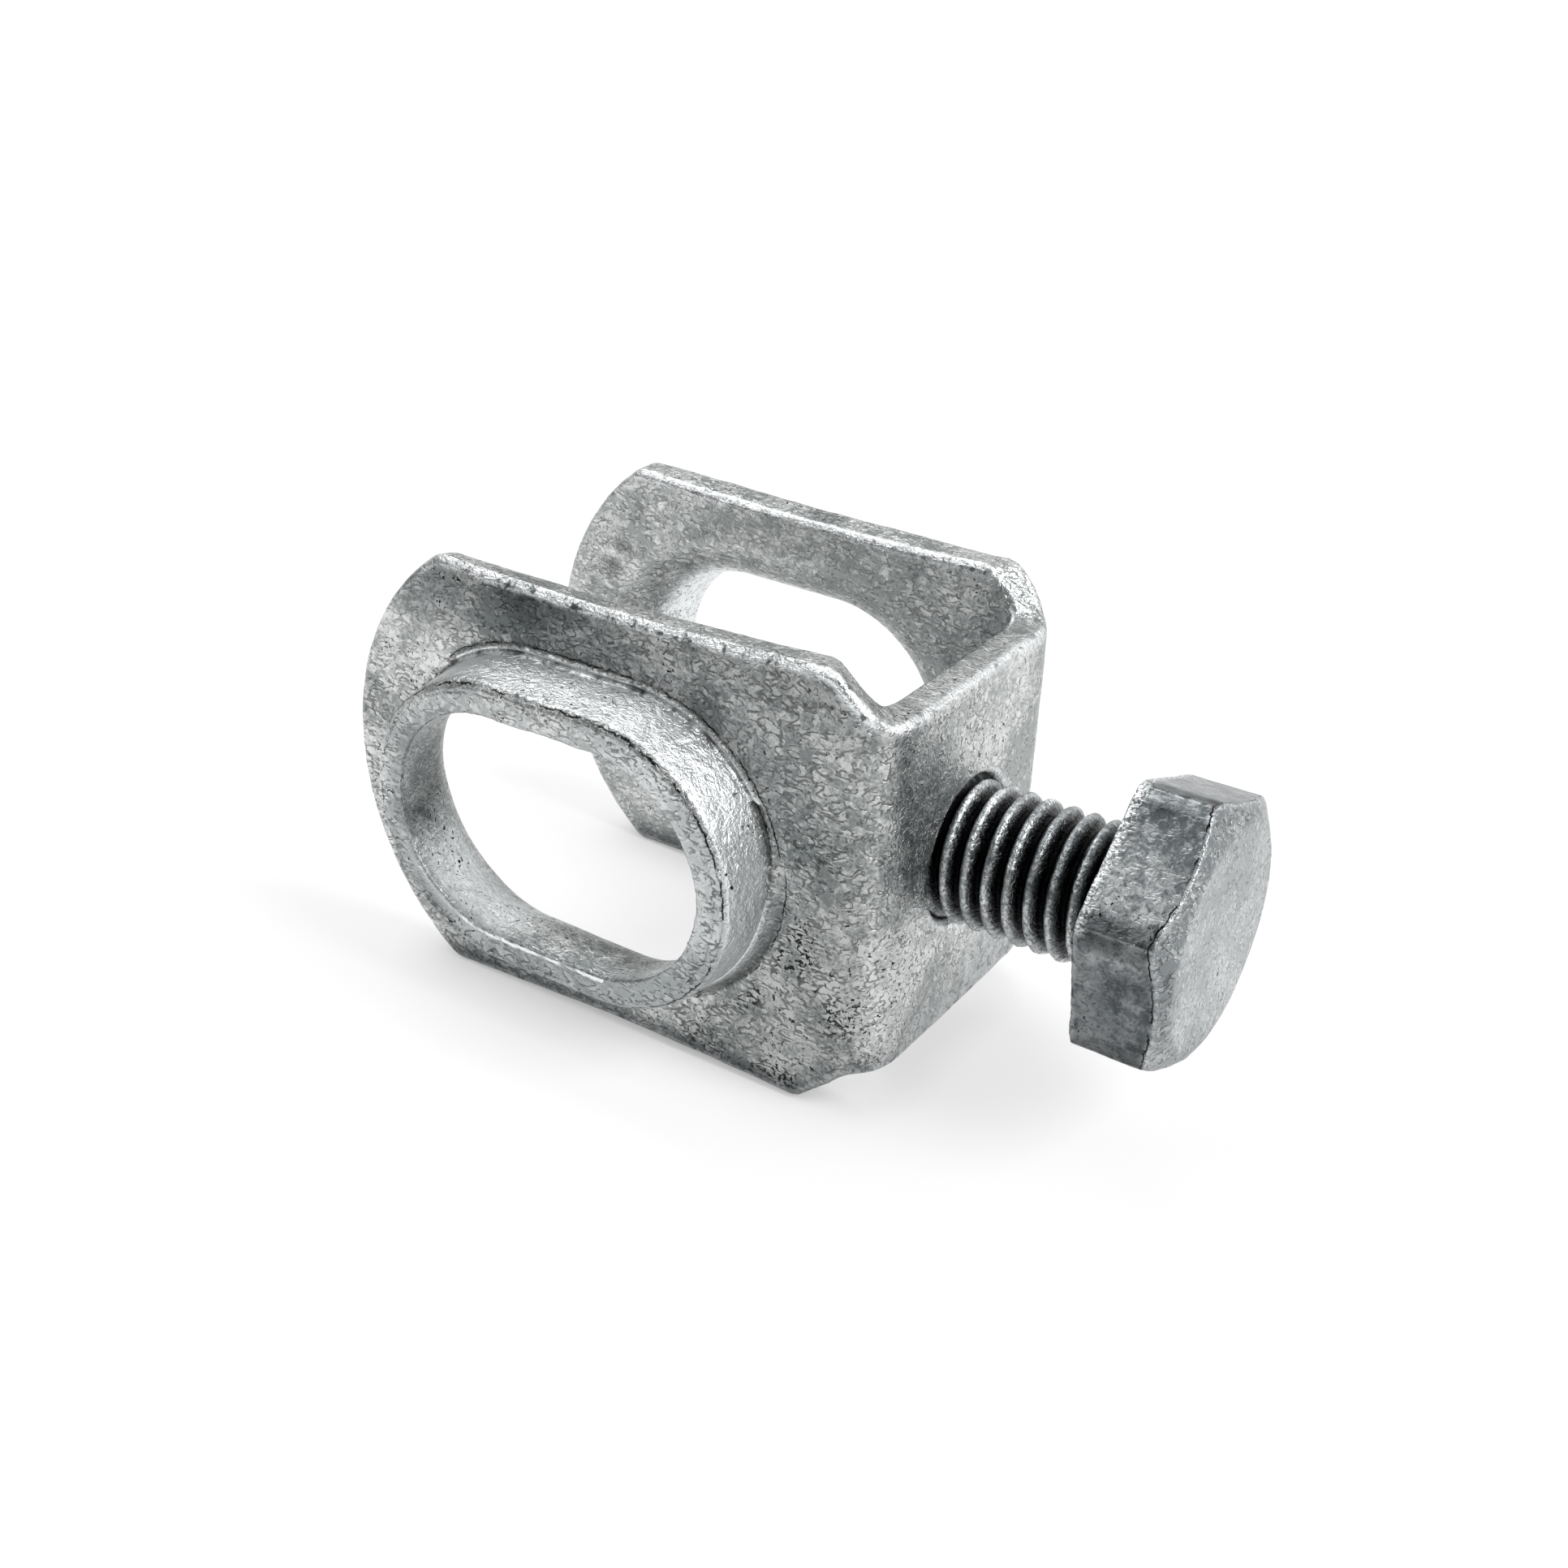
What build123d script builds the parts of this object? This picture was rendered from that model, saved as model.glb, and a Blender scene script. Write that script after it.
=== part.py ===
from build123d import *

import math
import os

# Rod and conductor clamp: a galvanised steel strap, pressed into a U with a drawn
# collar round the window in each ear, and one hexagon screw through its web.
# Millimetres. The origin is the centre of the rod seat, midway between the ears.
# +X runs along the screw towards its head, +Y across the ears, +Z up.

# Strap
strip_thickness = 2.6
ear_height = 31.6
ear_beyond_window = 8.15
ear_end_radius = 19.8
ear_corner_radius = 1.5
ear_splay_angle = 1.4
edge_dish = 0.45
edge_chamfer = 0.35
inside_width = 17.7
bend_inner_radius = 1.0

# Windows, a round rod seat at the free end of each
rod_seat_radius = 8.2
window_straight = 7.9
window_to_web = 10.25

# Notches at the bends, where the ears' height drops to the web's. Each is cut
# straight, so far round the bend from the ear. Its foot is where the slope meets
# the web's edge, measured along the cut's profile from the middle of the bend.
notch_depth = 3.2
notch_turn_angle = 30.0
notch_slope_angle = 44.0
top_notch_foot = 1.3
bottom_notch_foot = -0.1
notch_foot_radius = 2.0

# Collars, drawn outwards from the ears
collar_height = 4.7
collar_wall = 2.2
collar_draft_angle = 5.0
collar_root_chamfer = 0.45
rim_edge_chamfer = 0.4
draw_radius = 5.8

# Screw, M10 by 25, threaded up to its head and turned halfway in
thread_crest_diameter = 9.8
screw_length = 25.0
screw_exposed = 11.7
screw_tip_chamfer = 0.9
head_height = 6.0
head_across_flats = 17.0
head_face_diameter = 14.9
head_chamfer_angle = 28.0
head_turn_angle = 39.7
thread_clearance = 0.1
hole_mouth_chamfer = 0.4

# Places that follow from the sizes above
window_centre_x = window_straight / 2
web_outer_x = window_straight + rod_seat_radius + window_to_web
web_inner_x = web_outer_x - strip_thickness
ear_tip_x = -rod_seat_radius - ear_beyond_window
ear_end_centre_x = ear_tip_x + ear_end_radius
bend_centre_x = web_inner_x - bend_inner_radius
bend_centre_y = inside_width / 2 - bend_inner_radius
half_ear = ear_height / 2
half_web = half_ear - notch_depth
rim_radius = rod_seat_radius + collar_wall
splay_slope = math.tan(math.radians(ear_splay_angle))
head_seat_x = web_outer_x + screw_exposed
screw_hole_radius = thread_crest_diameter / 2 + thread_clearance

# How far a blank or a cutter runs past what it has to clear
overrun = 5.0
# Flat left round the draw radius on the punch
punch_shoulder = 0.1
# Faces that meet at less than this many degrees run smoothly into each other
smooth_angle = 10.0


def inner_face_y(x):
    """Distance of an ear's inner face from the middle plane, at a place along X."""
    return inside_width / 2 + (web_inner_x - x) * splay_slope


def ear_middle_y(x):
    """Distance of an ear's mid-thickness from the middle plane, at a place along X."""
    return inner_face_y(x) + strip_thickness / 2


def bent_strip():
    """The U seen from above, as tall as the ears."""
    mouth_x = ear_tip_x - overrun
    inside = make_face(
        Polyline(
            (mouth_x, -inner_face_y(mouth_x)),
            (web_inner_x, -inside_width / 2),
            (web_inner_x, inside_width / 2),
            (mouth_x, inner_face_y(mouth_x)),
            close=True,
        )
    )
    web_corners = inside.vertices().group_by(Axis.X)[-1]
    inside = fillet(web_corners, bend_inner_radius)
    outside = offset(inside, amount=strip_thickness)
    return extrude(outside - inside, amount=half_ear, both=True)


def ear_outline():
    """Side view of the ears: round free end, long edges pulled in by the drawing."""
    corner_x = ear_end_centre_x - math.sqrt(ear_end_radius**2 - half_ear**2)
    dish_x = (corner_x + bend_centre_x) / 2
    dish_z = half_ear - edge_dish
    past_web_x = web_outer_x + overrun
    free_end = ThreePointArc((corner_x, -half_ear), (ear_tip_x, 0), (corner_x, half_ear))
    top_edge = ThreePointArc((corner_x, half_ear), (dish_x, dish_z), (bend_centre_x, half_ear))
    past_web = Polyline(
        (bend_centre_x, half_ear),
        (past_web_x, half_ear),
        (past_web_x, -half_ear),
        (bend_centre_x, -half_ear),
    )
    bottom_edge = mirror(top_edge, Plane.XZ)
    side = make_face([free_end, top_edge, past_web, bottom_edge])
    free_corners = side.vertices().group_by(Axis.X)[0]
    side = fillet(free_corners, ear_corner_radius)
    return extrude(Plane.XZ * side, amount=inside_width, both=True)


def notch(foot):
    """Cutter for the notch above one bend and for the web's edge beside it."""
    turn = math.radians(notch_turn_angle)
    along_cut = Plane(
        origin=(bend_centre_x, -bend_centre_y, 0),
        x_dir=(math.cos(turn), math.sin(turn), 0),
        z_dir=(math.sin(turn), -math.cos(turn), 0),
    )
    height = half_ear - half_web + overrun
    slope_run = height / math.tan(math.radians(notch_slope_angle))
    profile = make_face(
        Polyline(
            (foot, half_web),
            (inside_width, half_web),
            (inside_width, half_web + height),
            (foot - slope_run, half_web + height),
            close=True,
        )
    )
    foot_corner = profile.vertices().group_by(Axis.Y)[0].sort_by(Axis.X)[0]
    profile = fillet(foot_corner, notch_foot_radius)
    cutter = extrude(along_cut * profile, amount=inside_width, both=True)
    return split(cutter, bisect_by=Plane.XZ, keep=Keep.TOP)


def sheared_edges(strap):
    """The edges where two faces of the cut and bent strip meet at an angle."""
    sharp = ShapeList()
    for edge in strap.edges():
        middle = edge @ 0.5
        first, second = [face.normal_at(middle) for face in strap.faces() if edge in face.edges()]
        if first.get_angle(second) > smooth_angle:
            sharp.append(edge)
    return sharp


def window(radius):
    """The window's oblong outline, with this radius round its ends."""
    return SlotCenterToCenter(window_straight, 2 * radius)


def collar():
    """The drawn ring round one window, square to the ear that it stands on."""
    on_ear = Plane(
        origin=(window_centre_x, -ear_middle_y(window_centre_x), 0),
        x_dir=(1, splay_slope, 0),
        z_dir=(splay_slope, -1, 0),
    )
    height = strip_thickness / 2 + collar_height
    root_radius = rim_radius + height * math.tan(math.radians(collar_draft_angle))
    ring = extrude(on_ear * window(root_radius), amount=height, taper=collar_draft_angle)
    rim = ring.faces().sort_by(Axis.Y)[0]
    return chamfer(rim.edges(), rim_edge_chamfer)


def punch():
    """What opens both windows: straight inside the rims, and widening over the draw
    radius to the inside of the strap. It is square to the middle plane and not to the
    splayed ears, so that a straight rod seats in both windows."""
    mouth_radius = rod_seat_radius + draw_radius
    lying = Pos(window_centre_x, 0, 0) * Plane.XZ
    reach = inside_width + collar_height
    through = extrude(lying * window(rod_seat_radius), amount=reach, both=True)
    mouth = window(mouth_radius + punch_shoulder)
    between_ears = extrude(lying * mouth, amount=inside_width / 2, both=True)
    joined = through + between_ears
    mouths = new_edges(through, between_ears, combined=joined)
    return fillet(mouths, draw_radius)


def clamp_body():
    """The pressed strap, with its notches, collars, windows and screw hole."""
    strap = bent_strip() & ear_outline()
    top_notch = notch(top_notch_foot)
    bottom_notch = mirror(notch(bottom_notch_foot), Plane.XY)
    for cutter in (top_notch, bottom_notch):
        strap -= cutter
        strap -= mirror(cutter, Plane.XZ)
    strap = chamfer(sheared_edges(strap), edge_chamfer)

    rings = [collar(), mirror(collar(), Plane.XZ)]
    drawn = strap + rings
    creases = new_edges(strap, *rings, combined=drawn).filter_by(
        lambda edge: abs(edge.center().Y) > ear_middle_y(edge.center().X)
    )
    drawn = chamfer(creases, collar_root_chamfer)

    pierced = drawn - punch()

    in_front = Plane.YZ.offset(web_inner_x - overrun)
    hole = extrude(in_front * Circle(screw_hole_radius), amount=strip_thickness + 2 * overrun)
    drilled = pierced - hole
    hole_ends = new_edges(pierced, hole, combined=drilled)
    return chamfer(hole_ends, hole_mouth_chamfer)


def clamp_bolt():
    """The hexagon screw. Its shank is the cylinder over the crests of the thread."""
    under_head = Plane.YZ.offset(head_seat_x)
    shank = extrude(under_head * Circle(thread_crest_diameter / 2), amount=-screw_length)
    tip = shank.edges().sort_by(Axis.X)[0]
    shank = chamfer(tip, screw_tip_chamfer)

    hexagon = RegularPolygon(head_across_flats / 2, 6, major_radius=False, rotation=head_turn_angle)
    head = extrude(under_head * hexagon, amount=head_height)
    head_end_x = head_seat_x + head_height
    face_radius = head_face_diameter / 2
    past_corner = head_across_flats
    fall = (past_corner - face_radius) * math.tan(math.radians(head_chamfer_angle))
    turned = make_face(
        Polyline(
            (head_end_x, 0),
            (head_end_x, face_radius),
            (head_end_x - fall, past_corner),
            (head_seat_x - overrun, past_corner),
            (head_seat_x - overrun, 0),
            close=True,
        )
    )
    return shank + (head & revolve(turned, Axis.X))


nodes = {
    "clamp_body": clamp_body(),
    "clamp_bolt": clamp_bolt(),
}

os.makedirs("parts", exist_ok=True)
for name, solid in nodes.items():
    export_step(solid, f"parts/{name}.step")
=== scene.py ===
import math
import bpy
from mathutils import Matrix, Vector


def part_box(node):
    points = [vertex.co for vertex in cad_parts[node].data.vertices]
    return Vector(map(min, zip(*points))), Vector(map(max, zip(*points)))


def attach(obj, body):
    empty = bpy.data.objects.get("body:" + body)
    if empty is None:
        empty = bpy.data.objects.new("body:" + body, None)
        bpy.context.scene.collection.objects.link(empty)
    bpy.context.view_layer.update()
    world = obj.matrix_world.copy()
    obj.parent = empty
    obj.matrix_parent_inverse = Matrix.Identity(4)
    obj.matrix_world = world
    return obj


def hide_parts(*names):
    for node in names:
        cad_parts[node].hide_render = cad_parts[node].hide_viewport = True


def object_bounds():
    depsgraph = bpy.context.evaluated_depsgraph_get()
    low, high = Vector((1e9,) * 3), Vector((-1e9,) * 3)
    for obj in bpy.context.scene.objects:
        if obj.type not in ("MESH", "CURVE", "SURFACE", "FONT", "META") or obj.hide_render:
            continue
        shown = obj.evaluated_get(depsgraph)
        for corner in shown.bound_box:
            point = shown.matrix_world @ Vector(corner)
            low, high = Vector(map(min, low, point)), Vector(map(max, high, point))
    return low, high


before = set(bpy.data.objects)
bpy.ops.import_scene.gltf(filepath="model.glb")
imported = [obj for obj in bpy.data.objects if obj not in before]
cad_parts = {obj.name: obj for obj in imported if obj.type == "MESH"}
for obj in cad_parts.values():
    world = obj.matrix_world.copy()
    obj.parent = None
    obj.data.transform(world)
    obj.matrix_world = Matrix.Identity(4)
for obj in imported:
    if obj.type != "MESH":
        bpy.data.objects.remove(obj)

from types import SimpleNamespace

import bmesh
import bpy
import numpy as np
from mathutils import Matrix, Vector

cad_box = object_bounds()
scene = bpy.context.scene
scene.view_settings.view_transform = "Standard"

# Camera. It stands where the photograph was taken from: in front of the screw's side,
# above the clamp and looking down along the near ear, with a roll of two degrees.
mm = 0.001
camera_place = Vector((74.43, -95.98, 62.14)) * mm
camera_yaw = math.radians(123.136)
camera_pitch = math.radians(28.434)
camera_roll = math.radians(1.867)
photo_width = 1932
focal_pixels = 2324.4

camera = bpy.data.objects.new("camera", bpy.data.cameras.new("camera"))
scene.collection.objects.link(camera)
scene.camera = camera
camera.data.sensor_width = 36
camera.data.lens = camera.data.sensor_width * focal_pixels / photo_width
camera.data.clip_start = 5 * mm
camera.data.clip_end = 10
forward = Vector(
    (
        math.cos(camera_pitch) * math.cos(camera_yaw),
        math.cos(camera_pitch) * math.sin(camera_yaw),
        -math.sin(camera_pitch),
    )
)
right = forward.cross(Vector((0, 0, 1))).normalized()
up = right.cross(forward)
rolled_right = right * math.cos(camera_roll) + up * math.sin(camera_roll)
rolled_up = up * math.cos(camera_roll) - right * math.sin(camera_roll)
facing = Matrix((rolled_right, rolled_up, -forward)).transposed().to_4x4()
camera.matrix_world = Matrix.Translation(camera_place) @ facing

# Clamp body. A strap of steel plate, pressed into a U with a drawn collar round the
# window in each ear, then dipped in molten zinc. The dip rounds every edge and leaves the
# skin crinkled and pitted. Its edges, collar walls and bores are painted bright, partly as
# bright zinc and partly as painted highlight, and its hollows and lower parts take painted shade.
plate = 2.6
half_ear = 15.8
half_web = 12.6
inside_width = 17.7
web_inner_x = 23.75
splay_slope = math.tan(math.radians(1.4))
window_straight = 7.9
rod_seat_radius = 8.2
draw_radius = 5.8
rim_radius = 10.4
collar_root_radius = 10.8
collar_height = 4.7
body_voxel = 0.15
body_triangles = 190_000

# Marks of the press: the near ear's top is rolled in outside and falls off inside, the
# far ear has a dent with a burr above it, and the windows' mouths are drawn wider.
roll_depth = 0.5
top_fall = 0.5
edge_lift = 0.35
dent_depth = 0.35
dent_place = (-10.6, 7.2)
burr_place = (-10.0, 8.4)
mouth_widening = 0.14

# Marks of the dip: zinc in the collars' roots, and a thin run of it along the near one
root_fillet = 1.2
root_fillet_reach = 0.9
run_radius = 11.15
run_width = 0.2
run_height = 0.27

# Distances from a window's middle line to the lines painted round its collar
# The dark lines in the collars' creases are painted shade
rim_line_radius = rim_radius - 0.15
upper_crease_radius = 11.5
lower_crease_radius = 11.8
# The glint along the near root and the bright line at the bore's edge are painted highlights
glint_radius = 11.05
bore_edge_radius = rod_seat_radius + 0.25
bore_edge_thinning = 1.5

# What the material reads from each point of a mesh, as it is where nothing is painted.
# Standing is how far the skin stands above its surroundings, in millimetres. A line is
# the distance from it in millimetres, here too far away to show. The rest are shares.
# Tarnish and grime carry painted shade too, and polish, worn, bead and the bright line painted
# highlights
unlined = 99.0
unpainted = {
    "standing": 0.0,
    "tarnish_and_shade": 0.0,
    "grime_and_shade": 0.0,
    "pitted": 0.0,
    "polish_and_highlight": 0.0,
    "smooth": 0.0,
    "drawn": 0.0,
    "zinc_bead_and_highlight": 0.0,
    "wear_and_highlight": 0.0,
    "dark_line": unlined,
    "highlight_line": unlined,
}


def rows(elements, name, count, kind=float):
    """One property of every vertex or edge of a mesh, as rows of so many numbers."""
    values = np.empty(len(elements) * count, kind)
    elements.foreach_get(name, values)
    return values.reshape(-1, count)


def evaluated(mesh, kind, **settings):
    """What a mesh becomes under one modifier."""
    carrier = bpy.data.objects.new("carrier", mesh)
    scene.collection.objects.link(carrier)
    modifier = carrier.modifiers.new("modifier", kind)
    for name, value in settings.items():
        setattr(modifier, name, value)
    graph = bpy.context.evaluated_depsgraph_get()
    seen = carrier.evaluated_get(graph)
    result = bpy.data.meshes.new_from_object(seen, preserve_all_data_layers=True, depsgraph=graph)
    bpy.data.objects.remove(carrier)
    return result


def welded(node):
    """A copy of a CAD node's mesh in millimetres, closed along the edges of its faces."""
    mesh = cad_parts[node].data.copy()
    mesh.transform(Matrix.Scale(1 / mm, 4))
    shell = bmesh.new()
    shell.from_mesh(mesh)
    bmesh.ops.remove_doubles(shell, verts=shell.verts, dist=1e-4)
    shell.to_mesh(mesh)
    shell.free()
    return mesh


def relaxed(points, edges, rounds):
    """The points after each has moved, so many times, to the mean of its neighbours."""
    count = np.bincount(edges.ravel(), minlength=len(points))[:, None]
    for _ in range(rounds):
        total = [
            np.bincount(edges[:, 0], points[edges[:, 1], axis], len(points))
            + np.bincount(edges[:, 1], points[edges[:, 0], axis], len(points))
            for axis in range(3)
        ]
        points = np.stack(total, -1) / count
    return points


def lumps(points, size, seed):
    """Smooth noise between -1 and 1 at each point, its lumps of this size in millimetres.
    It repeats after so many of them."""
    repeat = 32
    lattice = np.random.default_rng(seed).uniform(-1, 1, (repeat,) * 3)
    cell = np.floor(points / size).astype(int)
    part = points / size - cell
    part = part * part * (3 - 2 * part)
    value = np.zeros(len(points))
    for corner in np.ndindex(2, 2, 2):
        share = np.where(corner, part, 1 - part).prod(axis=-1)
        value += share * lattice[tuple(((cell + corner) % repeat).T)]
    return value


def ramp(value, low, high):
    """0 below low, 1 above high, and smooth between them."""
    part = np.clip((value - low) / (high - low), 0, 1)
    return part * part * (3 - 2 * part)


def fall(value, low, high):
    """1 below low, 0 above high, and smooth between them."""
    return 1 - ramp(value, low, high)


def band(value, start, full, fading, end):
    """1 between full and fading, and smooth down to 0 at start and at end."""
    return ramp(value, start, full) * fall(value, fading, end)


def zinc_skin(node, rough, shape, finish, ripples, triangles):
    """The dipped piece as a mesh with its finish painted on: edges rounded and nicked,
    faces rippled by so many millimetres at each size, and kept inside the CAD box."""
    rounding, surroundings = 1, 10
    nicks = ((1.2, 0.04, 31), (0.45, 0.02, 32))
    edges = rows(rough.edges, "vertices", 2, int)
    points = shape(relaxed(rows(rough.vertices, "co", 3), edges, rounding))
    rough.vertices.foreach_set("co", points.ravel())
    rough.update()
    normals = rows(rough.vertices, "normal", 3)
    standing = ((points - relaxed(points, edges, surroundings)) * normals).sum(-1)
    on_edge = ramp(standing, 0.03, 0.1)
    rise = sum(height * lumps(points, size, seed) for seed, (size, height) in enumerate(ripples))
    for size, height, seed in nicks:
        rise = rise + height * on_edge * lumps(points, size, seed)
    low, high = [np.array(corner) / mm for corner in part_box(node)]
    points = np.clip(points + normals * rise[:, None], low, high)
    rough.vertices.foreach_set("co", points.ravel())
    painted = {**unpainted, "standing": standing, **finish(points, normals)}
    for name, share in painted.items():
        attribute = rough.attributes.new(name, "FLOAT", "POINT")
        attribute.data.foreach_set("value", np.full(len(points), share, float))
    ratio = min(1, triangles / (2 * len(rough.polygons)))
    mesh = evaluated(rough, "DECIMATE", ratio=ratio)
    mesh.transform(Matrix.Scale(mm, 4))
    mesh.shade_smooth()
    return mesh


def linear(hex_colour):
    """An sRGB hex value as linear red, green, blue and alpha."""
    parts = [int(hex_colour[i : i + 2], 16) / 255 for i in (1, 3, 5)]
    return tuple(c / 12.92 if c <= 0.04045 else ((c + 0.055) / 1.055) ** 2.4 for c in parts) + (1,)


def add(tree, kind, inputs=(), out=0, **settings):
    """One output of a new node. Its inputs are set or linked, in order or by their name."""
    node = tree.nodes.new("ShaderNode" + kind)
    for name, value in settings.items():
        setattr(node, name, value)
    for socket, value in inputs.items() if isinstance(inputs, dict) else enumerate(inputs):
        if isinstance(value, bpy.types.NodeSocket):
            tree.links.new(value, node.inputs[socket])
        else:
            node.inputs[socket].default_value = value
    return node.outputs[out]


def galvanised_steel(name, pale, dark, tarnish_and_shade, pit_and_shade, bright):
    """Hot-dip galvanised steel, some months old: zinc that has dulled to a mottled grey.
    The eye sees cloudy patches of several millimetres, a crinkle of half a millimetre
    that catches the light, short dark strokes along its folds, pinholes where flux burnt
    out, and bright zinc on edges and runs, partly worn zinc and partly painted highlight.
    The mesh paints shade into it as tarnish, grime and dark lines, and highlights as polish
    and bright lines. As a metal it keeps the default IOR."""
    material = bpy.data.materials.new(name)
    material.use_nodes = True
    tree = material.node_tree
    shader = tree.nodes["Principled BSDF"]
    shader.inputs["Metallic"].default_value = 1.0
    painted = {
        finish: add(tree, "Attribute", out="Fac", attribute_name=finish) for finish in unpainted
    }

    # Patterns in the zinc, each with the size in millimetres of the real thing. The folds
    # run along the strap, so their pattern is stretched to twice its size along X.
    place = add(tree, "TexCoord", out="Object")
    stretched = add(tree, "VectorMath", [place, (0.5, 1.0, 1.0)], operation="MULTIPLY")
    noise = {}
    for pattern, where, size, detail, roughness, distortion in (
        ("cloud", place, 6.0, 3.0, 0.6, 0.4),
        ("crinkle", place, 0.7, 4.0, 0.6, 0.7),
        ("grain", place, 0.2, 2.0, 0.6, 0.0),
        ("break", place, 1.6, 1.0, 0.5, 0.0),
        ("fold", stretched, 0.5, 1.5, 0.5, 0.35),
        ("pinhole", place, 0.3, 1.0, 0.5, 0.6),
    ):
        scale = 1 / (size * mm)
        inputs = {"Vector": where, "Scale": scale, "Detail": detail, "Roughness": roughness}
        noise[pattern] = add(tree, "TexNoise", {**inputs, "Distortion": distortion})

    # Strokes: thin dark creases along the folds, fewer where the zinc was drawn smooth
    coarse = add(tree, "MapRange", [painted["smooth"], -1.0, 1.0, 2.0, 0.0])
    from_fold = add(tree, "Math", [noise["fold"], 0.5], operation="SUBTRACT")
    from_fold = add(tree, "Math", [from_fold], operation="ABSOLUTE")
    strokes = add(tree, "MapRange", [from_fold, 0.02, 0.07, 1.0, 0.0])
    in_dips = add(tree, "MapRange", [noise["crinkle"], 0.45, 0.53])
    undrawn = add(tree, "MapRange", [painted["drawn"], 0.0, 1.0, 1.0, 0.25])
    for share in (in_dips, coarse, undrawn):
        strokes = add(tree, "Math", [strokes, share], operation="MULTIPLY")

    # Pinholes: many where the skin is pitted, and a few in the cloudy patches
    many = add(tree, "MapRange", [noise["pinhole"], 0.60, 0.63])
    pitted = add(tree, "MapRange", [painted["pitted"], 0.0, 0.6])
    many = add(tree, "Math", [many, pitted], operation="MULTIPLY")
    few = add(tree, "MapRange", [noise["pinhole"], 0.66, 0.69])
    cloudy = add(tree, "MapRange", [noise["cloud"], 0.5, 0.6])
    few = add(tree, "Math", [few, cloudy], operation="MULTIPLY")
    holes = add(tree, "Math", [few, many], operation="MAXIMUM")

    # Edges and beads: zinc that stands proud is bright, in crumbs, as worn zinc and painted
    # highlight
    edge = add(tree, "MapRange", [painted["standing"], 0.015, 0.05])
    crumbs = add(tree, "MapRange", [noise["crinkle"], 0.38, 0.46])
    for share in (crumbs, painted["wear_and_highlight"]):
        edge = add(tree, "Math", [edge, share], operation="MULTIPLY")
    grainy = add(tree, "MapRange", [noise["grain"], 0.44, 0.56])
    zinc_bead_and_highlight = add(tree, "Math", [painted["zinc_bead_and_highlight"], grainy], operation="MULTIPLY")

    # Lines: each wanders with the crinkle by a quarter of a millimetre, and is broken
    wander = 0.5
    line = {}
    for finish, width in (("dark_line", 0.07), ("highlight_line", 0.3)):
        inputs = [noise["crinkle"], wander, painted[finish]]
        off = add(tree, "Math", inputs, operation="MULTIPLY_ADD")
        off = add(tree, "Math", [off, wander / 2], operation="SUBTRACT")
        off = add(tree, "Math", [off], operation="ABSOLUTE")
        on_line = add(tree, "MapRange", [off, 0.4 * width, width, 1.0, 0.0])
        unbroken = add(tree, "MapRange", [noise["break"], 0.42, 0.5, 0.25, 1.0])
        line[finish] = add(tree, "Math", [on_line, unbroken], operation="MULTIPLY")
    # Painted shade in the hollows of the skin and along the dark lines
    hollow_shade = add(tree, "MapRange", [painted["standing"], -0.03, -0.10, 0.0, 0.8])
    dark_lines_and_hollow_shade = add(tree, "Math", [hollow_shade, line["dark_line"]], operation="MAXIMUM")

    # Colour: mottled from dark to pale, and then each layer over the ones before it
    tone = 0.0
    for pattern, share in (("grain", 0.20), ("crinkle", 0.42), ("cloud", 0.38)):
        tone = add(tree, "Math", [noise[pattern], share, tone], operation="MULTIPLY_ADD")
    tone = add(tree, "MapRange", [tone, 0.44, 0.56])
    # Polish and the bright colour also paint highlights, and tarnish, grime and the pit colour
    # shade
    polish_and_highlight_share = add(tree, "Math", [painted["polish_and_highlight"], 0.8], operation="MULTIPLY")
    tarnished_and_shaded = add(tree, "Math", [painted["tarnish_and_shade"], 0.9], operation="MULTIPLY")
    stained = add(tree, "MapRange", [painted["pitted"], 0.0, 1.0, 0.6, 1.0])
    stained = add(tree, "Math", [strokes, stained], operation="MULTIPLY")
    colour = linear(dark)
    for share, layer, mode in (
        (tone, pale, "MIX"),
        (polish_and_highlight_share, bright, "MIX"),
        (tarnished_and_shaded, tarnish_and_shade, "MULTIPLY"),
        (painted["grime_and_shade"], pit_and_shade, "MULTIPLY"),
        (stained, pit_and_shade, "MIX"),
        (holes, pit_and_shade, "MIX"),
        (edge, bright, "MIX"),
        (zinc_bead_and_highlight, bright, "MIX"),
        (dark_lines_and_hollow_shade, pit_and_shade, "MIX"),
        (line["highlight_line"], bright, "MIX"),
    ):
        inputs = {0: share, 6: colour, 7: linear(layer)}
        colour = add(tree, "Mix", inputs, out=2, data_type="RGBA", blend_type=mode)
    tree.links.new(colour, shader.inputs["Base Color"])

    # Roughness: satin to dull with the grain, even where drawn, and glossiest on edges
    drawn_roughness = 0.42
    edge_roughness = 0.28
    rough = add(tree, "Math", [noise["grain"], strokes], operation="ADD")
    rough = add(tree, "MapRange", [rough, 0.35, 1.2, 0.26, 0.5])
    shine = add(tree, "Math", [edge, line["highlight_line"]], operation="MAXIMUM")
    for share, value in ((painted["drawn"], drawn_roughness), (shine, edge_roughness)):
        rough = add(tree, "Mix", {0: share, 2: rough, 3: value}, data_type="FLOAT")
    tree.links.new(rough, shader.inputs["Roughness"])

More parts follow.
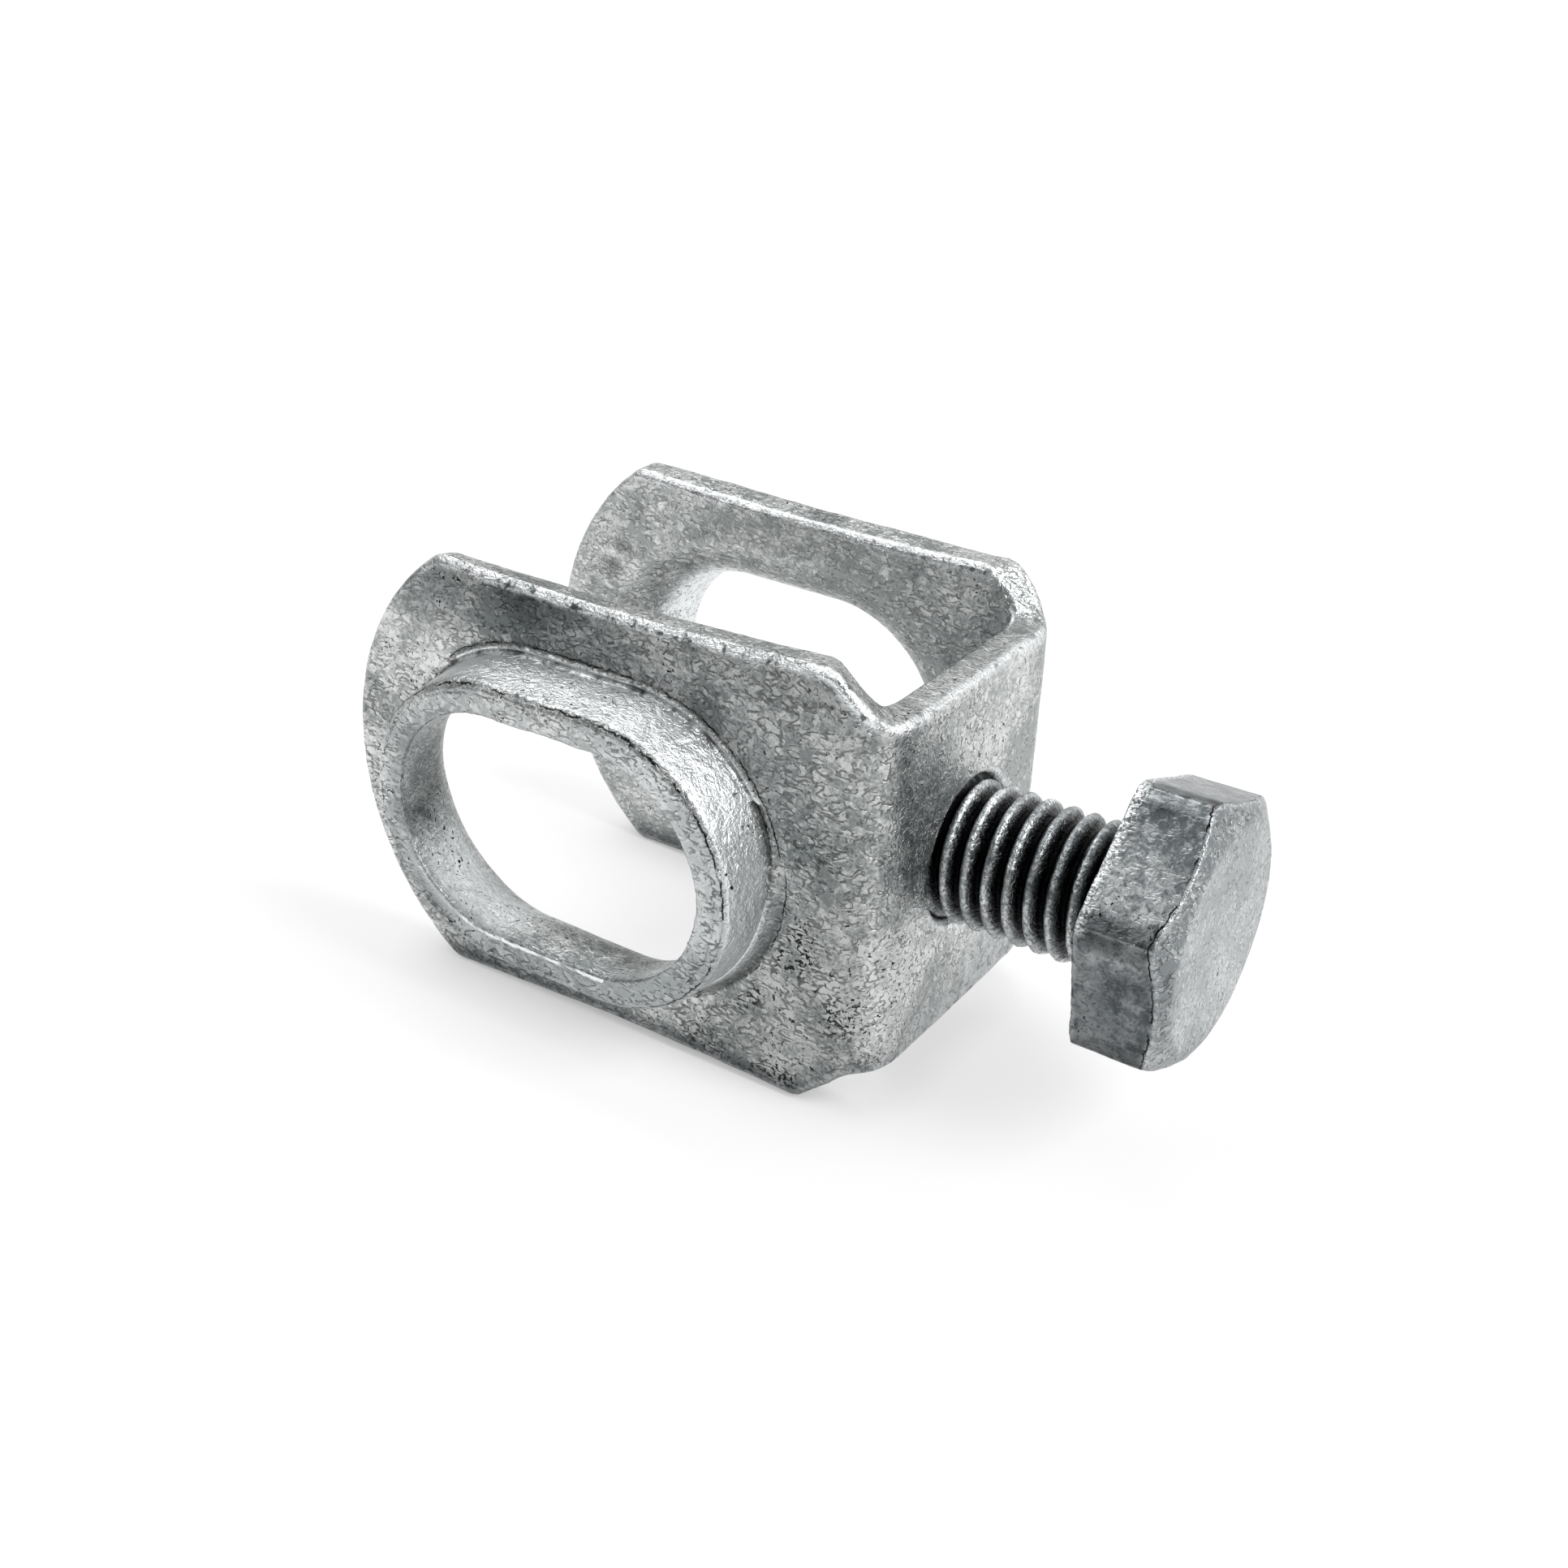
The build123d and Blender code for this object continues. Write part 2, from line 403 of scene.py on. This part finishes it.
    # Relief, in millimetres: the crinkle and grain stand up, strokes and holes are cut in
    flow = add(tree, "Math", [noise["grain"], 0.03 * mm], operation="MULTIPLY")
    flow = add(tree, "Math", [noise["crinkle"], 0.14 * mm, flow], operation="MULTIPLY_ADD")
    cuts = add(tree, "Math", [holes, -0.05 * mm], operation="MULTIPLY")
    cuts = add(tree, "Math", [strokes, -0.035 * mm, cuts], operation="MULTIPLY_ADD")
    height = add(tree, "Math", [flow, coarse, cuts], operation="MULTIPLY_ADD")
    bump = add(tree, "Bump", {"Height": height, "Distance": 1.0, "Strength": 1.0})
    tree.links.new(bump, shader.inputs["Normal"])
    return material


def outer_face_y(x):
    """Distance of an ear's outer face from the middle plane, at a place along X."""
    return inside_width / 2 + (web_inner_x - x) * splay_slope + plate


def on_strap(x, y, z):
    """How proud points are of their ear's outer face, and how far they are, seen from the
    side, from the middle line of the oblong window."""
    proud = np.abs(y) - outer_face_y(x)
    from_window = np.hypot(x - np.clip(x, 0, window_straight), z)
    return proud, from_window


def strap_shape(points):
    """The strap's points with the marks of the press and of the dip."""
    x, y, z = points.T.copy()
    proud, from_window = on_strap(x, y, z)
    face_y = outer_face_y(x)
    width = np.abs(y)
    near = y < 0
    outside = ramp(proud, -0.9, -0.3)
    depth = np.clip(-proud / plate, 0, 1)
    below_top = half_ear - z

    # Zinc fills the collars' roots. Over the near one the crease is sharp instead, with
    # the run of zinc along it.
    sharp = near * ramp(z, -6, 5)
    fillet = np.clip(1 - (from_window - collar_root_radius) / root_fillet_reach, 0, 1)
    fillet = fillet * (from_window > rim_radius) * (proud > -0.3)
    in_crease = (proud > 0) & (proud < 0.6) & (from_window > collar_root_radius + 0.05)
    skin = np.where(in_crease, face_y + proud * (1 - sharp), width)
    filled = face_y + (1 - sharp) * root_fillet * fillet**2
    width = np.where(fillet > 0, np.maximum(skin, filled), skin)
    run = near * ramp(z, 2, 4) * (np.abs(proud) < 0.6)
    run = run * ramp(lumps(points, size=4.0, seed=44), -0.45, -0.15)
    run = run_height * run * np.exp(-(((from_window - run_radius) / run_width) ** 2))

    # The near ear's top is rolled in, and the far ear has its dent and burr inside.
    rolled = outside * fall(below_top, -1.2, 4.8) ** 2 * near * fall(x, 18, 24)
    dent, burr = [
        np.exp(-((x - place_x) ** 2 + 4 * (z - place_z) ** 2) / 2)
        for place_x, place_z in (dent_place, burr_place)
    ]
    width = width - roll_depth * rolled
    width = width + dent_depth * (dent - burr) * (1 - outside) * ~near
    width = width + run

    # The mouths widen over the draw radius, on the inner side and not on the collar.
    on_collar = (proud > -0.6) & (from_window > rod_seat_radius + 1.4)
    widened = mouth_widening * np.clip(from_window - rod_seat_radius, 0, draw_radius) * ~on_collar
    widened = widened * fall(from_window, 13.6, 15.2) / from_window.clip(1)
    x = x + (x - np.clip(x, 0, window_straight)) * widened
    z = z * (1 + widened)

    # The near ear's top falls off inside, and the far ear's outer edge is straight.
    below_top = half_ear - z
    fallen = near * depth**2 * fall(x, -12, 14) * fall(below_top, 0.8, 4.8)
    straight = ~near * (1 - depth) * fall(below_top, 0.8, 3.8) * band(x, -12, -2, 12, 22)
    z = z - top_fall * fallen + edge_lift * straight
    return np.stack((x, np.sign(y) * width, z), -1)


def strap_places(points, normals):
    """Where each point lies, and its share in the areas that more than one finish needs."""
    x, y, z = points.T
    at = SimpleNamespace(x=x, y=y, z=z, near=y < 0, up=normals[:, 2])
    at.proud, at.from_window = on_strap(x, y, z)
    at.below_rim = collar_height - at.proud
    at.below_top = half_ear - z
    at.above_foot = half_ear + z
    web_high = fall(half_web - z, 0.3, 1.1)
    at.outside = ramp(at.proud, -1.3, -0.4)
    at.inside_far = ~at.near * ramp(-at.proud, 2.0, 2.4)
    at.on_web = ramp(x, web_inner_x + 1.8, web_inner_x + 2.4)
    at.on_rim = fall(at.below_rim, 0.7, 1.7)
    at.wall = ramp(at.proud, 0.3, 0.9) * ramp(at.from_window, rim_radius - 0.1, rim_radius + 0.15)
    at.bore = fall(at.from_window, rod_seat_radius + 0.3, rod_seat_radius + 1.3)
    at.bore = at.bore * ramp(np.abs(y), 9.5, 11)
    at.low_left = ramp(-z, 1, 5) * ramp(-x, -3, 2)
    at_top = fall(at.below_top, 0.8, 1.8)
    at.outer_edge = np.maximum(at_top, ramp(x, 17, 18) * web_high)
    at.outer_edge = at.near * ramp(at.proud, -1.0, -0.6) * at.outer_edge
    at.inner_edge = ~at.near * ramp(-at.proud, 1.9, 2.3) * at_top
    at.faces_up = ramp(at.up, 0.6, 0.8) * web_high
    at.faces_up = at.faces_up * (0.75 + 0.5 * lumps(points, size=2.5, seed=43))
    return at


def strap_stains(points, at):
    """Tarnish, grime and pits. Most of the darkening is painted shade: under the near ear's top,
    low on the rims and on the ears, in the near bore, on faces turned down, beside the collar,
    in the far corner and along the bend. What faces up is darkened in patches too. Grime and
    pits lie on the ears' lower right, and pits on what faces up and on the rims' right side."""
    x, y, z = at.x, at.y, at.z
    patches = 0.6 + 0.4 * lumps(points, size=5.0, seed=41)
    near_face = at.outside * at.near
    # Painted shade: a dark band under the near ear's top edge
    shade_under_top = near_face * band(at.below_top, 0.3, 0.9, 3.3, 6.3)
    shade_under_top = shade_under_top * (0.3 + 0.7 * ramp(x, -13, -7))
    shade_under_top = shade_under_top * (1 - 0.3 * ramp(x, 5, 22)) * patches
    shade_under_edge = near_face * band(at.below_top, 0.6, 1.2, 2.0, 3.3) * ramp(x, -12, -6) * patches
    # Painted shade low on the rims and in the near bore
    shade_low_on_rim = fall(at.below_rim, 0.3, 0.8) * np.maximum(ramp(-z, 0, 5), 0.25 * ramp(z, 2, 6))
    left_bore = ramp(-x, 1, 5) * ramp(z, -6, -1)
    right_bore = 0.5 * ramp(x, -1, 3) * ramp(-z, 2, 5)
    shade_in_near_bore = at.bore * at.near * np.maximum(left_bore, right_bore)
    # Painted shade along the bottom edges and on faces turned down, as from the contact shadow
    contact_shade_in_corner = 0.7 * ramp(x, 21, 23) * fall(at.above_foot, 3.4, 5.8)
    contact_shade = np.maximum(fall(at.above_foot, 0.6, 2.6), contact_shade_in_corner)
    shade_underneath = ramp(-at.up, 0.15, 0.6) * fall(at.above_foot, 2.8, 3.8)
    # Painted shade beside the collar, in the far corner and along the bend
    shade_by_collar = 0.35 * near_face * ramp(x, 10, 16) * (1 - at.on_web) * (1 - at.wall)
    shade_in_far_corner = 0.35 * at.inside_far * band(x, 12, 18, 23, 24)
    shade_along_bend = 0.4 * ramp(x, 24, 25.2) * band(y, -10.8, -9.6, -8.0, -6.0) * ramp(z, -9, 0)
    worn_and_highlit_edges = np.maximum(0.5 * at.outer_edge, 0.4 * at.inner_edge)
    top_faces = 0.45 * at.faces_up * (1 - worn_and_highlit_edges)
    lower_right = at.outside * ramp(x, 9, 17) * fall(z, -2, 8) * (at.from_window > 12.5)
    right_rim = 0.15 * fall(at.below_rim, 0.5, 1.1) * ramp(x, 7, 11) * (1 - at.bore)
    tarnish_and_shade = [1.15 * shade_under_top, 0.7 * shade_low_on_rim, 0.7 * shade_in_near_bore, contact_shade]
    tarnish_and_shade += [shade_by_collar, shade_in_far_corner, shade_along_bend, top_faces]
    # Grime under the top, underneath and along the bottom is painted shade; on the lower right it
    # is dirt
    grime_and_shade = 0.25 * shade_under_top + 0.15 * lower_right + 0.25 * shade_under_edge
    pitted = np.max((lower_right, 0.3 * at.faces_up, right_rim), axis=0)
    return {
        "tarnish_and_shade": np.max(tarnish_and_shade, axis=0),
        "grime_and_shade": grime_and_shade + np.maximum(0.8 * shade_underneath, 0.35 * contact_shade**2),
        "pitted": pitted * ramp(lumps(points, size=4.0, seed=42), -0.4, 0.2),
    }


def strap_wear(at):
    """Zinc left bright or smooth: on the collars' drawn walls, in the bores, inside the
    far ear, on the web and along the ears' top edges. The brightness is partly smooth zinc
    and partly painted highlight, which also lies on the rims, most on their right."""
    low_bore = at.bore * at.near * at.low_left
    top_left = at.outside * at.near * ramp(at.z, 5, 9) * fall(at.x, -9, -3)
    # Polish is partly painted highlight: on the walls, in the bores, and on the rims, most on the
    # right
    polish_and_highlight = [at.wall, at.bore * np.where(at.near, at.low_left, 1)]
    polish_and_highlight += [0.12 * at.inside_far, 0.15 * at.on_web]
    polish_and_highlight += [(0.3 + 0.3 * ramp(at.x, 7, 11)) * at.on_rim]
    smooth = 0.3 * at.inside_far + 0.35 * top_left + 0.4 * at.bore * (1 - at.low_left)
    # Worn edges are painted highlights too, strongest along the near ear's top edge
    wear_and_highlight = 0.2 + 0.8 * at.outer_edge + 0.6 * at.inner_edge + 0.25 * at.on_web
    return {
        "polish_and_highlight": np.max(polish_and_highlight, axis=0),
        "smooth": smooth - 0.35 * at.wall - 0.4 * low_bore,
        "drawn": np.maximum(at.wall, low_bore),
        "wear_and_highlight": np.clip(wear_and_highlight - 0.2 * at.on_rim, 0, 1),
    }


def strap_lines(points, at):
    """Distances from the dark line round each rim and collar root, and from the bright
    one along the near collar's root and the lower edge of its bore. The dark line is painted
    shade where it follows a crease, and the bright one is a painted highlight."""
    over_root = (at.proud > -0.3) & (at.proud < 0.8)
    crease = np.where(at.z > 2, upper_crease_radius, lower_crease_radius)
    dark_radius = np.where(at.proud > 2, rim_line_radius, crease)
    dark_seen = (at.below_rim < 1.1) | (over_root & ((at.z > 2) | (at.x > 9)))
    unbroken = lumps(points, size=4.0, seed=44) > -0.3
    root_seen = over_root & (at.proud < 0.7) & at.near & (at.z > 3) & unbroken
    bore_seen = at.near & (at.below_rim < 0.8) & (at.z < -5) & (at.x < 9)
    bore_edge = bore_edge_thinning * (at.from_window - bore_edge_radius)
    bright = np.where(bore_seen, bore_edge, unlined)
    return {
        "dark_line": np.where(dark_seen, at.from_window - dark_radius, unlined),
        "highlight_line": np.where(root_seen, at.from_window - glint_radius, bright),
    }


def strap_finish(points, normals):
    """All that is painted on the strap."""
    at = strap_places(points, normals)
    return {**strap_stains(points, at), **strap_wear(at), **strap_lines(points, at)}


body_rough = evaluated(welded("clamp_body"), "REMESH", mode="VOXEL", voxel_size=body_voxel)
body_mesh = zinc_skin(
    "clamp_body",
    body_rough,
    strap_shape,
    strap_finish,
    ripples=((7.0, 0.05), (2.2, 0.025), (0.9, 0.012)),
    triangles=body_triangles,
)
# The thick zinc on plate looks pale and mottled, with dark grey in its pits.
# Its pit colour also darkens the painted shade, and its bright colour the painted highlights
galvanised_strap = galvanised_steel(
    "hot_dip_galvanised_plate",
    pale="#dfe0df",
    dark="#8e9392",
    tarnish_and_shade="#a2a6a8",
    pit_and_shade="#262828",
    bright="#f2f5f6",
)
body_mesh.materials.clear()
body_mesh.materials.append(galvanised_strap)
body = bpy.data.objects.new("dipped_strap", body_mesh)
scene.collection.objects.link(body)
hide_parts("clamp_body")
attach(body, "strap")

# Clamp screw. An M10 hexagon head screw, threaded up to its head, hot-dip galvanised and
# spun clean, so that its thread is half filled and rounded with zinc. It turns in the
# web's tapped hole. Its head has a rough bright bead of zinc along the bearing edge.
pitch = 1.5
crest_radius = 4.88
root_radius = 3.95
crest_power = 0.9
screw_tip_x = 13.05
head_seat_x = 38.05
head_end_x = 44.05
tip_chamfer = 0.9
face_radius = 7.45
chamfer_slope = math.tan(math.radians(28))
corner_blunting = 0.2
shank_reach = 5.2
core_radius = 3.6
core_overlap = 1.0
turn_steps = 120
steps_per_pitch = 16
screw_voxel = 0.14
screw_triangles = 120_000


def thread():
    """The threaded shank as a closed grid: a helix of rounded crests, tapered at its tip.
    A crest power under one makes the crests wider than the roots."""
    end_x = head_seat_x + core_overlap
    count = int((end_x - screw_tip_x) / pitch * steps_per_pitch)
    x, angle = np.meshgrid(
        np.linspace(screw_tip_x, end_x, count),
        np.linspace(0, 2 * math.pi, turn_steps, endpoint=False),
        indexing="ij",
    )
    turns = x / pitch - angle / (2 * math.pi)
    crest = (0.5 - 0.5 * np.cos(2 * math.pi * turns)) ** crest_power
    radius = root_radius + (crest_radius - root_radius) * crest
    radius = np.minimum(radius, crest_radius - tip_chamfer + (x - screw_tip_x))
    grid = np.stack((x, radius * np.cos(angle), radius * np.sin(angle)), -1).reshape(-1, 3)
    tip_centre, end_centre = len(grid), len(grid) + 1
    points = [tuple(point) for point in grid] + [(screw_tip_x, 0, 0), (end_x, 0, 0)]
    last = (count - 1) * turn_steps
    around = [(step, (step + 1) % turn_steps) for step in range(turn_steps)]
    faces = []
    for low in range(0, last, turn_steps):
        high = low + turn_steps
        faces += [(low + step, low + beside, high + beside, high + step) for step, beside in around]
    for step, beside in around:
        faces.append((tip_centre, beside, step))
        faces.append((end_centre, last + step, last + beside))
    return points, faces


def cored(points):
    """The CAD screw's points, its plain shank drawn in to a core that the thread hides."""
    x = points[:, 0].copy()
    around = np.hypot(points[:, 1], points[:, 2])
    on_shank = (x < head_seat_x - 0.01) | (around < shank_reach)
    on_shank &= x < head_seat_x + 0.5
    points[on_shank, 1:] *= core_radius / around[on_shank, None].clip(core_radius)
    points[x < screw_tip_x + 2, 0] += core_overlap
    return points


def outer_shell(mesh):
    """The mesh without the specks that remeshing leaves inside it: its largest shell."""
    edges = rows(mesh.edges, "vertices", 2, int)
    shell_of = np.arange(len(mesh.vertices))
    before = None
    while not np.array_equal(shell_of, before):
        before = shell_of.copy()
        lower = before[edges].min(axis=1)
        for end in edges.T:
            np.minimum.at(shell_of, before[end], lower)
        shell_of = shell_of[shell_of]
    largest = np.bincount(shell_of).argmax()
    shell = bmesh.new()
    shell.from_mesh(mesh)
    shell.verts.ensure_lookup_table()
    specks = [shell.verts[index] for index in np.flatnonzero(shell_of != largest)]
    bmesh.ops.delete(shell, geom=specks, context="VERTS")
    shell.to_mesh(mesh)
    shell.free()
    return mesh


def screw_shape(points):
    """The screw's points with the head's corners blunted by forging and tumbling."""
    x, y, z = points.T.copy()
    around = np.hypot(y, z)
    blunted = corner_blunting * ramp(around, 9.2, 9.8) * (x > head_seat_x - 0.5)
    kept = 1 - blunted / around.clip(1)
    return np.stack((x, y * kept, z * kept), -1)


def screw_finish(points, normals):
    """All that is painted on the screw: thread roots darkened as painted shade with some
    oxide, painted highlights as bright flecks on the crests' upper side, painted shade on
    the head's sides, darkest underneath and at the corners, a painted highlight on the end
    disc, and the bead along the bearing edge."""
    x, y, z = points.T
    around = np.hypot(y, z)
    on_head = ramp(x, head_seat_x - 0.3, head_seat_x)
    from_chamfer = head_end_x - (around - face_radius) * chamfer_slope - x
    sides = on_head * ramp(around, 7.6, 8.2) * ramp(from_chamfer, 0.05, 0.15)
    disc = on_head * fall(around, face_radius - 0.4, face_radius)
    disc = disc * ramp(x, head_end_x - 1, head_end_x - 0.4)
    chamfer = on_head * (1 - sides) * (1 - disc)
    bearing_edge = sides * fall(x, head_seat_x + 0.35, head_seat_x + 0.8) * ramp(z, 2.4, 3.4)
    corners = sides * ramp(around, 9.0, 9.4)
    underside = ramp(-z, -3.6, -3)
    top = ramp(z, 7.4, 8.0)
    # Painted shade in the thread's roots, with some oxide
    roots = (1 - on_head) * fall(around, root_radius + 0.2, crest_radius - 0.1)
    # Painted highlights: bright flecks on the crests' upper side
    crest_highlights = (1 - on_head) * ramp(around, 4.6, 4.85) * ramp(z, -3, 2)
    crest_highlights = crest_highlights * ramp(lumps(points, size=1.3, seed=51), 0.1, 0.4)
    patches = 0.8 + 0.4 * lumps(points, size=1.5, seed=52)
    # Painted shade on the head's sides, darkest underneath, on top and at the corners
    shaded_sides = sides * np.clip(0.2 + 0.8 * underside + 0.35 * top + corners, 0, 1)
    shaded_head = (0.1 * chamfer + shaded_sides) * (1 - bearing_edge) * patches
    along_chamfer = (x > head_seat_x) & (around > face_radius + 0.2)
    return {
        "tarnish_and_shade": shaded_head + 0.5 * roots,
        "grime_and_shade": roots + 0.35 * sides * underside * patches + 0.3 * corners,
        "pitted": 0.5 * roots,
        # Polish paints a highlight on the end disc, and a little on the chamfer
        "polish_and_highlight": 0.3 * disc + 0.1 * chamfer,
        "smooth": 0.3 * disc + 0.75 * sides * (1 - bearing_edge),
        "zinc_bead_and_highlight": np.maximum(bearing_edge, crest_highlights),
        "wear_and_highlight": 0.15,
        "dark_line": np.where(along_chamfer, from_chamfer - 0.2, unlined),
    }


head = welded("clamp_bolt")
head_points = cored(rows(head.vertices, "co", 3))
head_faces = [tuple(face.vertices) for face in head.polygons]
shank_points, shank_faces = thread()
shank_faces = [tuple(len(head_points) + corner for corner in face) for face in shank_faces]
joined = bpy.data.meshes.new("screw")
joined.from_pydata(
    [tuple(point) for point in head_points] + shank_points, [], head_faces + shank_faces
)
screw_rough = outer_shell(evaluated(joined, "REMESH", mode="VOXEL", voxel_size=screw_voxel))
screw_mesh = zinc_skin(
    "clamp_bolt",
    screw_rough,
    screw_shape,
    screw_finish,
    ripples=((5.0, 0.03), (1.6, 0.02), (0.6, 0.014)),
    triangles=screw_triangles,
)
# The coat of a spun screw is thinner and looks darker, nearly black in the thread as painted shade.
# Its pit colour also darkens the painted shade, and its bright colour the painted highlights
galvanised_screw = galvanised_steel(
    "hot_dip_galvanised_screw",
    pale="#c3c6c7",
    dark="#777c7e",
    tarnish_and_shade="#a2a6a8",
    pit_and_shade="#101112",
    bright="#f2f5f6",
)
screw_mesh.materials.clear()
screw_mesh.materials.append(galvanised_screw)
screw = bpy.data.objects.new("dipped_screw", screw_mesh)
scene.collection.objects.link(screw)
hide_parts("clamp_bolt")
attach(screw, "screw")

# Floor. A sheet of matt white board, which the clamp lies on and which fills the view.
# It is white where it is seen and takes the clamp's shadow, darkest where they touch.
floor_half = 4.0
floor_z = cad_box[0][2]
contact_reach = 4 * mm
glow_at_contact, glow_in_open = 0.3, 0.7
floor_corners = [(-1, -1), (1, -1), (1, 1), (-1, 1)]
floor_mesh = bpy.data.meshes.new("floor")
floor_mesh.from_pydata(
    [(x * floor_half, y * floor_half, floor_z) for x, y in floor_corners], [], [(0, 1, 2, 3)]
)
board = bpy.data.materials.new("matt_white_board")
board.use_nodes = True
tree = board.node_tree
board_shader = tree.nodes["Principled BSDF"]
board_shader.inputs["Base Color"].default_value = linear("#f2f2f2")
board_shader.inputs["Roughness"].default_value = 0.9
board_shader.inputs["Specular IOR Level"].default_value = 0.1
seen = 0.0
for ray in ("Is Camera Ray", "Is Glossy Ray", "Is Transmission Ray"):
    seen = add(tree, "Math", [seen, add(tree, "LightPath", out=ray)], operation="MAXIMUM")
openness = add(tree, "AmbientOcclusion", {"Distance": contact_reach}, out="AO", samples=8)
openness = add(tree, "MapRange", [openness, 0.0, 1.0, glow_at_contact, glow_in_open])
share = add(tree, "Math", [seen, openness], operation="MULTIPLY")
glow = add(tree, "Emission", {"Color": (1, 1, 1, 1), "Strength": 1.0})
mixed = add(tree, "MixShader", [share, board_shader.outputs[0], glow])
tree.links.new(mixed, tree.nodes["Material Output"].inputs["Surface"])
floor_mesh.materials.append(board)
floor = bpy.data.objects.new("floor", floor_mesh)
scene.collection.objects.link(floor)

# Light. Wide soft lamps, far enough away to light floor and clamp evenly: the strongest
# up to the right, one above on the left, weak ones behind and in front, and a pale room
# that is darker on the camera's side.
for name, towards, strength, width in (
    ("right_softbox", (0.69, 0.05, 0.70), 2.3, 26),
    ("back_softbox", (0.35, 0.80, 0.50), 0.25, 60),
    ("top_softbox", (-0.46, 0.20, 0.86), 1.1, 36),
    ("front_softbox", (-0.48, -0.50, 0.72), 0.25, 22),
):
    lamp = bpy.data.objects.new(name, bpy.data.lights.new(name, "SUN"))
    lamp.data.energy = strength
    lamp.data.angle = math.radians(width)
    lamp.rotation_euler = Vector(towards).to_track_quat("Z", "Y").to_euler()
    scene.collection.objects.link(lamp)

room_back = (0.35, 0.9, 0.25)
darkest, palest = 0.2, 0.85
room = bpy.data.worlds.new("pale_room")
room.use_nodes = True
tree = room.node_tree
direction = add(tree, "TexCoord", out="Generated")
behind = add(tree, "VectorMath", [direction, room_back], out="Value", operation="DOT_PRODUCT")
depth = add(tree, "MapRange", [behind, -0.6, 0.7, darkest, palest])
tree.links.new(depth, tree.nodes["Background"].inputs["Color"])
scene.world = room
